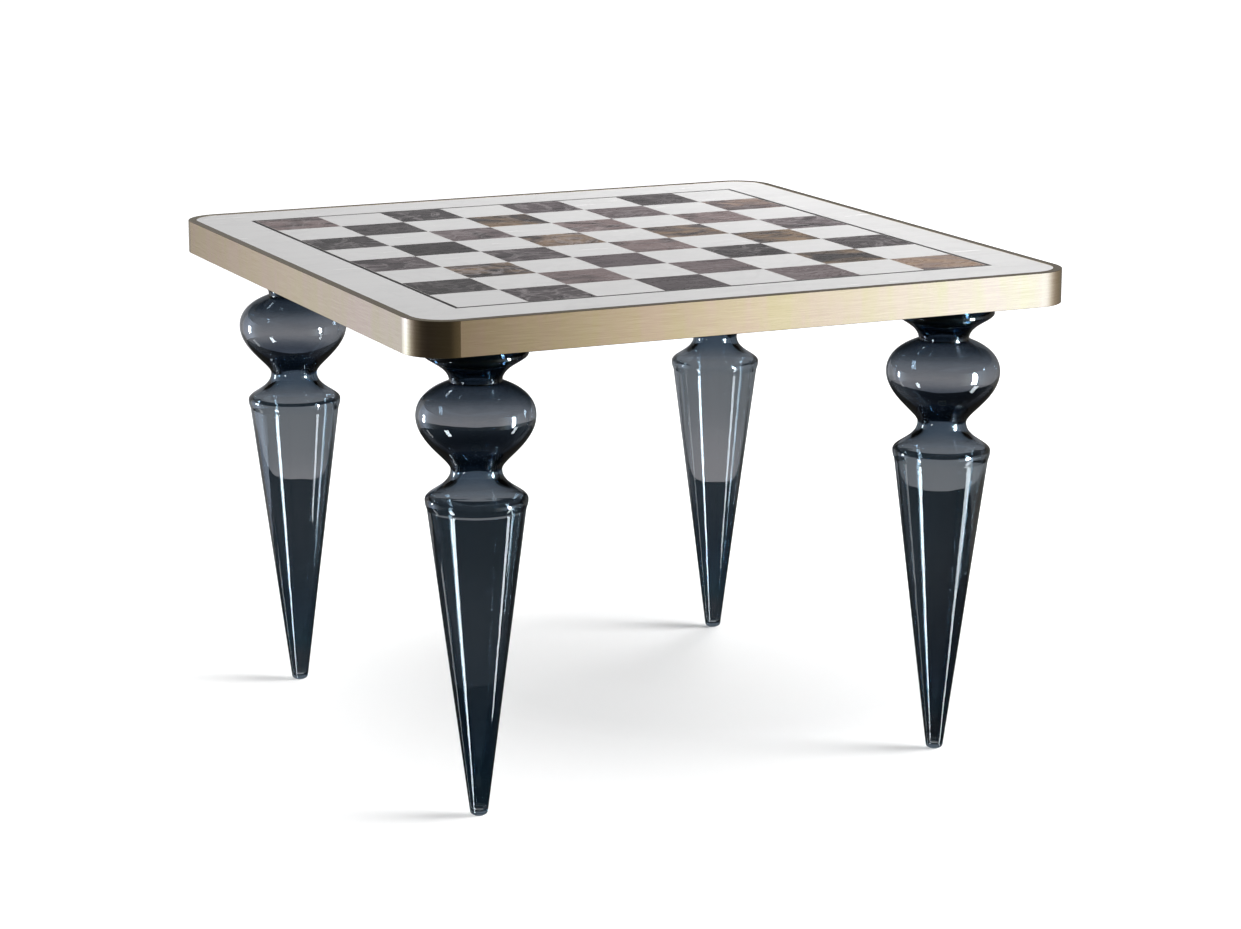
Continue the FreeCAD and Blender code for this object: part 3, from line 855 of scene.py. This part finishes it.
def inside_outline():
    """From the mouth down to the end of the cavity."""
    def inner(place, wall):
        radius, level = station(place)
        return (radius - wall, level)

    mouth = (MOUTH_RADIUS, GLASS_TOP - MOUTH_DEPTH)
    neck, low_neck = inner(UPPER_NECK, NECK_WALL), inner(LOWER_NECK, NECK_WALL)
    bulb, shoulder = inner(BULB, BULB_WALL), inner(SHOULDER, SHOULDER_WALL)
    cone_top = inner(COVE, CONE_WALL)
    end_level = CAVITY_END_HEIGHT + CAVITY_END_RADIUS
    end_share = end_level / station(COVE)[1]
    outside_radius = TIP_RADIUS + (COVE[1] - TIP_RADIUS) * end_share
    cavity_side = (outside_radius * cone_top[0] / COVE[1], end_level)
    cavity_end = (cavity_side[0] - CAVITY_END_RADIUS, CAVITY_END_HEIGHT)
    return (
        [(MOUTH_RADIUS + MOUTH_CHAMFER, GLASS_TOP), (MOUTH_RADIUS, GLASS_TOP - MOUTH_CHAMFER)]
        + run(mouth, neck, COLLAR_RUN)
        + run(neck, bulb, BULB_TOP_RUN)
        + run(bulb, low_neck, BULB_FOOT_RUN)
        + run(low_neck, shoulder, SHOULDER_RUN)
        + bead_run(shoulder, cone_top, steps=ROUND_STEPS)
        + straight(cone_top, cavity_side)
        + quarter_round(cavity_side, cavity_end, (cavity_side[0], CAVITY_END_HEIGHT))
        + [cavity_end, (0.0, CAVITY_END_HEIGHT)]
    )


leg_outline = outside_outline()[::-1] + inside_outline()
print("the leg's outline has", len(leg_outline), "points")

# %% [markdown]
# The lathe copies the outline round the axis and joins the copies with faces. Blender's
# Screw modifier does that too. Doing it point by point leaves a clean closed mesh with
# one point on the axis at each end, and lets real corners, such as the edge of the
# mouth, be marked sharp while the rest is shaded smooth.

# %% Lathe
TURN_STEPS = 128
SHARP_TURN = math.radians(28)


def ring_faces(rings):
    """Faces between neighbouring rings. A ring of one point lies on the axis."""
    faces = []
    for (start, steps), (next_start, next_steps) in zip(rings, rings[1:]):
        for i in range(TURN_STEPS):
            j = (i + 1) % TURN_STEPS
            if steps == 1:
                faces.append((start, next_start + j, next_start + i))
            elif next_steps == 1:
                faces.append((start + i, start + j, next_start))
            else:
                faces.append((start + i, start + j, next_start + j, next_start + i))
    return faces


def mark_corners(mesh, outline, rings):
    """Marks the rings sharp where the outline turns a corner."""
    sharp_rings = set()
    for i in range(1, len(outline) - 1):
        before = Vector(outline[i]) - Vector(outline[i - 1])
        after = Vector(outline[i + 1]) - Vector(outline[i])
        if before.angle(after) > SHARP_TURN:
            sharp_rings.add(rings[i][0])
    for edge in mesh.edges:
        for start in sharp_rings:
            if all(start <= v < start + TURN_STEPS for v in edge.vertices):
                edge.use_edge_sharp = True


def lathe(name, outline, centre, material):
    """Turns an outline that starts and ends on the axis."""
    vertices, rings = [], []
    for radius, level in outline:
        steps = TURN_STEPS if radius > 0 else 1
        rings.append((len(vertices), steps))
        for i in range(steps):
            turn = 2 * math.pi * i / TURN_STEPS
            vertices.append((centre.x + radius * math.cos(turn),
                             centre.y + radius * math.sin(turn), level))
    mesh = bpy.data.meshes.new(name)
    mesh.from_pydata(vertices, [], ring_faces(rings))
    mesh.polygons.foreach_set("use_smooth", [True] * len(mesh.polygons))
    mark_corners(mesh, outline, rings)
    mesh.materials.append(material)
    mesh.validate()
    made = bpy.data.objects.new(name, mesh)
    scene.collection.objects.link(made)
    return made


print("lathe ready:", TURN_STEPS, "steps to a turn")

# %% [markdown]
# Each leg stands where the construction model has its own glass, and takes its place in
# the table: it rides on the table's one body and replaces the coarser solid.

# %% Four legs
LEG_PLACES = {}
for corner in ("front_left", "front_right", "rear_left", "rear_right"):
    low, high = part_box("glass_leg_" + corner)
    LEG_PLACES[corner] = (low + high) / 2

glass_legs = bpy.data.collections.new("glass_legs")
for corner, centre in LEG_PLACES.items():
    leg = lathe("blown_glass_leg_" + corner, leg_outline, centre, smoked_glass)
    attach(leg, "root")
    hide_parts("glass_leg_" + corner)
    glass_legs.objects.link(leg)
print("turned", len(LEG_PLACES), "legs")

# %% [markdown]
# ## Studio: white world and floor
# The table stands on plain white paper in a white surround. A world of that strength
# would flood the table with light. So the world is white only for the rays that show
# it: to the camera, in gloss and through glass. Onto the table it sends a weak fill.

# %% World
WORLD_FILL = 0.13


def showing(tree):
    """1 for a camera, glossy or transmission ray, and 0 for the rest."""
    path = node(tree, "ShaderNodeLightPath").outputs
    seen = maths(tree, "MAXIMUM", path["Is Camera Ray"], path["Is Glossy Ray"])
    return maths(tree, "MAXIMUM", seen, path["Is Transmission Ray"])


world = bpy.data.worlds.new("studio")
world.use_nodes = True
tree = world.node_tree
strength = scaled(tree, showing(tree), gain=1.0 - WORLD_FILL, shift=WORLD_FILL)
feed(tree, tree.nodes["Background"], Strength=strength, Color=colour(1, 1, 1))
scene.world = world
print("world fill", WORLD_FILL)

# %% [markdown]
# The floor and the cards are pieces of the studio and not of the table. Each is seen by
# the kinds of rays that need it and by no others.

# %% Pieces of the studio
def show_to(made, rays):
    """Makes a piece of the studio, which only the named kinds of rays can see."""
    for ray in ("camera", "diffuse", "glossy", "transmission", "volume_scatter", "shadow"):
        setattr(made, "visible_" + ray, ray in rays)


def stage_object(name, points, faces, material, shown_to):
    """A piece of the studio as a mesh."""
    mesh = bpy.data.meshes.new(name)
    mesh.from_pydata(points, [], faces)
    mesh.materials.append(material)
    made = bpy.data.objects.new(name, mesh)
    scene.collection.objects.link(made)
    show_to(made, shown_to)
    return made


def bare_material(name):
    """A material whose shader is still to be chosen."""
    material, tree, shader = new_material(name)
    tree.nodes.remove(shader)
    return material, tree, tree.nodes["Material Output"]


print("pieces of the studio can be made")

# %% [markdown]
# Paper under a table is in soft shade near the legs and bright farther out. Its own
# shading shows the lamps' shadows, and the shade under the top is partly these shadows and
# partly painted: a glow, for the same showing rays alone, is left out round the middle and
# grows with the distance, which lifts the paper to white farther out, so the floor meets
# the background without an edge. Seen from below the floor is clear, so a view from
# underneath still shows the table.

# %% Floor
FLOOR_HALF = 30.0
FLOOR_DROP = 0.0006              # below the pads, so the two never lie in one plane
FLOOR_LIT = colour(0.8, 0.8, 0.8)
FLOOR_SHOWN = colour(0.88, 0.88, 0.88)
# painted shade: the glow is left out round this centre, so the paper under the table stays darker
PAINTED_SHADE_CENTRE = (0.26, 0.18, 0.0)
FLOOR_REACH = 5.0
FLOOR_GLOWS_ROUND_PAINTED_SHADE = (                  # metres from the middle of the shade, and the glow
    (0.0, 0.0), (0.20, 0.02), (0.35, 0.05), (0.42, 0.11), (0.5, 0.19), (0.6, 0.28),
    (0.7, 0.36), (0.8, 0.42), (1.1, 0.53), (1.6, 0.66), (2.2, 0.76), (5.0, 0.90),
)


def make_white_paper():
    material, tree, output = bare_material("white_paper")
    seen = showing(tree)
    matt = node(tree, "ShaderNodeBsdfDiffuse",
                {"Color": mix_colour(tree, seen, FLOOR_LIT, FLOOR_SHOWN)})
    distance = node(tree, "ShaderNodeVectorMath", {0: object_place(tree), 1: PAINTED_SHADE_CENTRE},
                    operation="DISTANCE").outputs["Value"]
    glows = [(reach / FLOOR_REACH, (level, level, level)) for reach, level in FLOOR_GLOWS_ROUND_PAINTED_SHADE]
    # painted shade near the centre, and an evenly white floor far out
    growing = colour_ramp(tree, maths(tree, "DIVIDE", distance, FLOOR_REACH), glows)
    glow = node(tree, "ShaderNodeEmission",
                {"Strength": maths(tree, "MULTIPLY", seen, growing)})
    both = node(tree, "ShaderNodeAddShader", {0: matt.outputs[0], 1: glow.outputs[0]})
    clear = node(tree, "ShaderNodeBsdfTransparent")
    below = node(tree, "ShaderNodeNewGeometry").outputs["Backfacing"]
    one_sided = node(tree, "ShaderNodeMixShader",
                     {0: below, 1: both.outputs[0], 2: clear.outputs[0]})
    feed(tree, output, Surface=one_sided.outputs[0])
    return material


floor_corners = [(x * FLOOR_HALF, y * FLOOR_HALF, -FLOOR_DROP)
                 for x, y in ((-1, -1), (1, -1), (1, 1), (-1, 1))]
stage_object("floor", floor_corners, [(0, 1, 2, 3)], make_white_paper(),
             ("camera", "diffuse", "transmission", "volume_scatter", "shadow"))
print("floor laid, %.0f m wide" % (2 * FLOOR_HALF))

# %% [markdown]
# ## Studio: soft lights
# A large key lamp gives the band and the board their level light, a top lamp evens the
# marble, and a rear lamp lifts the far half without adding a shadow of its own.
#
# Glass lets most light pass, but its quick shadows come out black, and following each
# ray through it is slow and full of specks. So the only things that block the key lamp
# are slim spindles inside the legs, which cast the short soft streak that a thin glass
# tip leaves on the floor. The wide soft shade under the top is painted: it is the place
# where the floor has no glow.

# %% Lamps for the table
# radius and height of each point of its outline, in metres
SPINDLE = [(0.0, 0.002), (0.006, 0.002), (0.021, 0.10), (0.016, 0.20), (0.0, 0.32)]


def aim(place, target):
    return (Vector(target) - Vector(place)).to_track_quat("-Z", "Y").to_matrix().to_4x4()


def soft_box(name, place, target, width, height, power):
    """A lamp of a given size in metres, turned to its target. It shows in no mirror."""
    data = bpy.data.lights.new(name, "AREA")
    data.shape = "RECTANGLE"
    data.size = width
    data.size_y = height
    data.energy = power
    light = bpy.data.objects.new(name, data)
    light.matrix_world = Matrix.Translation(place) @ aim(place, target)
    light.visible_glossy = False
    light.visible_transmission = False
    scene.collection.objects.link(light)
    return light


shadow_makers = bpy.data.collections.new("shadow_makers")
for corner, centre in LEG_PLACES.items():
    spindle = lathe("shadow_spindle_" + corner, SPINDLE, centre, clear_pad)
    shadow_makers.objects.link(spindle)
    show_to(spindle, ("shadow",))
key_light = soft_box("key_light", place=(5.07, -2.39, 7.74), target=(0, 0, 0.2),
                     width=2.7, height=8.3, power=695.0)
key_light.light_linking.blocker_collection = shadow_makers
soft_box("top_light", place=(1.35, 0.3, 2.2), target=(0.3, 0, 0.72),
         width=2.0, height=2.0, power=13.0)
rear_light = soft_box("rear_light", place=(1.4, 1.3, 1.6), target=(0.3, 0, 0.72),
                      width=0.8, height=0.8, power=21.0)
rear_light.visible_camera = False
rear_light.data.use_shadow = False
print("three lamps for the table")

# %% [markdown]
# Glass is drawn by what it mirrors. Each long bright line on a cone is the image of a
# narrow upright soft box. A lamp for the whole scene that is bright enough for such a
# line would burn out the marble. Light linking lets these boxes shine on the glass
# alone. A cone leans outwards towards its top and so mirrors what lies low. That is why
# three of the boxes stand below the level of the floor, which gloss doesn't see.

# %% Soft boxes for the glass
def glass_light(name, place, width, height, brightness):
    """A small soft box that only the glass legs take light from."""
    power = brightness * math.pi * width * height
    light = soft_box(name, place, (0, 0, place[2]), width, height, power)
    light.visible_glossy = True
    light.visible_transmission = True
    light.visible_diffuse = False
    light.light_linking.receiver_collection = glass_legs
    return light


glass_light("right_box", place=(1.23, -1.58, 0.45), width=0.26, height=0.95,
            brightness=450.0)
glass_light("right_box_mirrored", place=(1.41, -1.41, -0.575), width=0.30, height=0.75,
            brightness=12.0)
main_box = glass_light("main_box", place=(-3.13, -0.70, -1.35), width=0.5, height=1.3,
                       brightness=21.0)
main_box.visible_transmission = False
glass_light("left_box", place=(-2.36, 1.85, 0.30), width=0.36, height=0.8,
            brightness=35.0)
glass_light("left_box_mirrored", place=(-2.36, 1.85, -1.35), width=0.36, height=1.0,
            brightness=2.0)
print("five soft boxes for the glass")

# %% [markdown]
# ## Studio: cards
# In a white room polished metal and clear glass are white too, and lose their form. A
# studio gives them something dark to show by standing cards round the object. These are
# seen by one kind of ray alone, so they change nothing else in the picture. Each card
# glows by itself, and so needs no light.

# %% Glow of the cards
GLOSS, THROUGH = ("glossy",), ("transmission",)


def shine(tree, output, tint):
    """Lets a material glow in a colour, plain or from a socket."""
    glow = node(tree, "ShaderNodeEmission", {"Color": tint})
    feed(tree, output, Surface=glow.outputs[0])


def glow_material(name, tint):
    """A card that glows in one colour."""
    material, tree, output = bare_material(name)
    shine(tree, output, colour(*tint))
    return material


def fading_glow(name, first, last, measure, ends):
    """A card that goes from the first colour to the last between two ends of a measure."""
    material, tree, output = bare_material(name)
    measured = measure(tree, parts_of(tree, object_place(tree)))
    share = node(tree, "ShaderNodeMapRange",
                 {"Value": measured, "From Min": ends[0], "From Max": ends[1]}).outputs[0]
    shine(tree, output, mix_colour(tree, share, colour(*first), colour(*last)))
    return material


def turn_round(tree, parts):
    """The angle round the table, from -Y towards -X."""
    return maths(tree, "ARCTAN2", maths(tree, "MULTIPLY", parts[0], -1.0),
                 maths(tree, "MULTIPLY", parts[1], -1.0))


def slant(tree, parts):
    """The distance in the direction of +X and -Y."""
    return maths(tree, "SUBTRACT", parts[0], parts[1])


print("cards can glow")

# %% [markdown]
# A card is either part of an upright ring, which shows the same width from everywhere
# on the table, or a flat disc that lies level. The two need no modifier and only a few
# faces.

# %% Shapes of the cards
RING_STEPS = 48
DISC_STEPS = 96


def curved_card(name, radius, turns, heights, material, shown_to=GLOSS):
    """Part of an upright ring round the table. Turns are degrees from -Y towards -X."""
    points = []
    for i in range(RING_STEPS + 1):
        turn = math.radians(turns[0] + (turns[1] - turns[0]) * i / RING_STEPS)
        x, y = -radius * math.sin(turn), -radius * math.cos(turn)
        points += [(x, y, heights[0]), (x, y, heights[1])]
    faces = [(2 * i, 2 * i + 2, 2 * i + 3, 2 * i + 1) for i in range(RING_STEPS)]
    return stage_object(name, points, faces, material, shown_to)


def disc(name, centre, radius, level, material, shown_to, steps=DISC_STEPS, first_turn=0.0):
    """A flat disc, level with the floor. With four steps it is a square."""
    points = []
    for i in range(steps):
        turn = first_turn + 2 * math.pi * i / steps
        points.append((centre[0] + radius * math.cos(turn),
                       centre[1] + radius * math.sin(turn), level))
    return stage_object(name, points, [tuple(range(steps))], material, shown_to)


print("cards can be cut")

# %% [markdown]
# **What the metal mirrors.** The band's colour in each direction is that of the card it
# faces. All round stands a dark surround, with a dim lid and a dark floor. Inside it a
# ring of narrow cards runs from dark to bright and back, which gives the band its long
# soft fade and a bright streak at each rounded corner.

# %% Cards for the metal
CARD_RING, SURROUND_RING = 3.3, 3.4
CARD_HEIGHTS, SURROUND_HEIGHTS = (-0.8, 1.5), (-3.0, 4.5)
REAR_TURNS, REAR_HEIGHTS = (172, 240), (0.9, 4.4)
ALL_ROUND = (0, 360)
DARK_TINT = (0.055, 0.052, 0.048)
DIM_TINT = (0.10, 0.10, 0.10)
REAR_TINT = (0.19, 0.19, 0.19)
METAL_SEES = (                   # degrees from -Y towards -X, and the colour there
    (-151, (0.16, 0.15, 0.14)), (-125, (0.18, 0.17, 0.16)), (-106, (0.21, 0.195, 0.175)),
    (-93, (0.26, 0.24, 0.21)), (-82, (0.33, 0.30, 0.27)), (-73, (0.44, 0.42, 0.41)),
    (-64, (0.68, 0.69, 0.71)), (-56, (1.08, 1.18, 1.25)), (-49, (1.38, 1.58, 1.80)),
    (-40, (1.60, 1.82, 2.25)), (-34, (1.53, 1.76, 2.05)), (-28.5, (1.28, 1.39, 1.40)),
    (-24, (1.15, 1.17, 1.10)), (-20, (0.88, 0.84, 0.73)), (-16.5, (0.57, 0.54, 0.49)),
    (-13, (0.42, 0.38, 0.31)), (-12, (0.30, 0.27, 0.205)), (-10, (0.17, 0.15, 0.11)),
    (-4, (0.105, 0.09, 0.06)), (12, (0.04, 0.035, 0.025)), (60, (0.028, 0.024, 0.022)),
    (75, (0.045, 0.04, 0.035)), (92, (0.14, 0.13, 0.12)), (104, (0.42, 0.42, 0.42)),
    (114, (1.0, 1.1, 1.25)), (121, (1.65, 1.9, 2.3)), (128, (1.85, 2.1, 2.5)),
    (134, (1.3, 1.45, 1.8)), (140, (0.86, 0.95, 1.15)), (146, (0.72, 0.76, 0.95)),
    (150, (0.70, 0.73, 0.77)), (152, (0.78, 0.74, 0.75)), (153.4, (0.72, 0.69, 0.62)),
    (155, (0.47, 0.45, 0.40)), (158, (0.33, 0.31, 0.30)), (172, (0.38, 0.38, 0.39)),
    (200, (1.0, 1.0, 1.05)),
)

dark_glow = glow_material("dark_glow", DARK_TINT)
curved_card("dark_surround", SURROUND_RING, ALL_ROUND, SURROUND_HEIGHTS, dark_glow)
disc("dark_below", (0, 0), SURROUND_RING, SURROUND_HEIGHTS[0], dark_glow, GLOSS)
disc("dark_above", (0, 0), SURROUND_RING, SURROUND_HEIGHTS[1],
     glow_material("dim_glow", DIM_TINT), GLOSS)
curved_card("rear_grey_card", CARD_RING, REAR_TURNS, REAR_HEIGHTS,
            glow_material("rear_grey_glow", REAR_TINT))
for number, ((start, first), (end, last)) in enumerate(zip(METAL_SEES, METAL_SEES[1:])):
    name = "side_card_%d" % number
    ends = (math.radians(start), math.radians(end))
    curved_card(name, CARD_RING, (start, end), CARD_HEIGHTS,
                fading_glow(name, first, last, turn_round, ends))
print("cards for the metal:", number + 1, "in the ring")

# %% [markdown]
# **What the glass shows.** Hollow glass shows what stands behind it, a little bent. A
# grey wall fills the upper part of each bulb and the top of each cone, and a dark cloth
# on the floor fills the rest. The cloth gets darker to the right, and a darker round
# one lies under the front leg. Only rays that have passed through glass see them, so
# the floor round the legs stays white.

# %% Cloths and wall for the glass
GREY_TINT = (0.335, 0.305, 0.305)
WALL_RING = 8.0
WALL_HEIGHTS = (-0.0004, 7.0)
CLOTH_HALF = 1.60                # half a side of the square cloth
CLOTH_TURN = math.radians(27.5)
CLOTH_FADE = (0.1, 0.5)          # metres along the slant
CLOTH_DARK = (0.020, 0.026, 0.033)
CLOTH_DARKER = (0.0065, 0.0085, 0.012)
CLOTH_NEAR = (0.003, 0.009, 0.015)
NEAR_PLACE, NEAR_RADIUS = (-0.25, -0.30), 0.55
NEAR_LEVEL, CLOTH_LEVEL, GREY_LEVEL = -0.0002, -0.0003, -0.00045

cloth_glow = fading_glow("cloth_glow", CLOTH_DARK, CLOTH_DARKER, slant, CLOTH_FADE)
disc("dark_cloth", (0, 0), CLOTH_HALF * math.sqrt(2), CLOTH_LEVEL, cloth_glow, THROUGH,
     steps=4, first_turn=math.pi / 4 - CLOTH_TURN)
disc("near_cloth", NEAR_PLACE, NEAR_RADIUS, NEAR_LEVEL,
     glow_material("near_glow", CLOTH_NEAR), THROUGH)
grey_glow = glow_material("grey_glow", GREY_TINT)
disc("grey_cloth", (0, 0), WALL_RING, GREY_LEVEL, grey_glow, THROUGH)
curved_card("grey_wall", WALL_RING, ALL_ROUND, WALL_HEIGHTS, grey_glow, THROUGH)
print("cloths and wall for the glass")
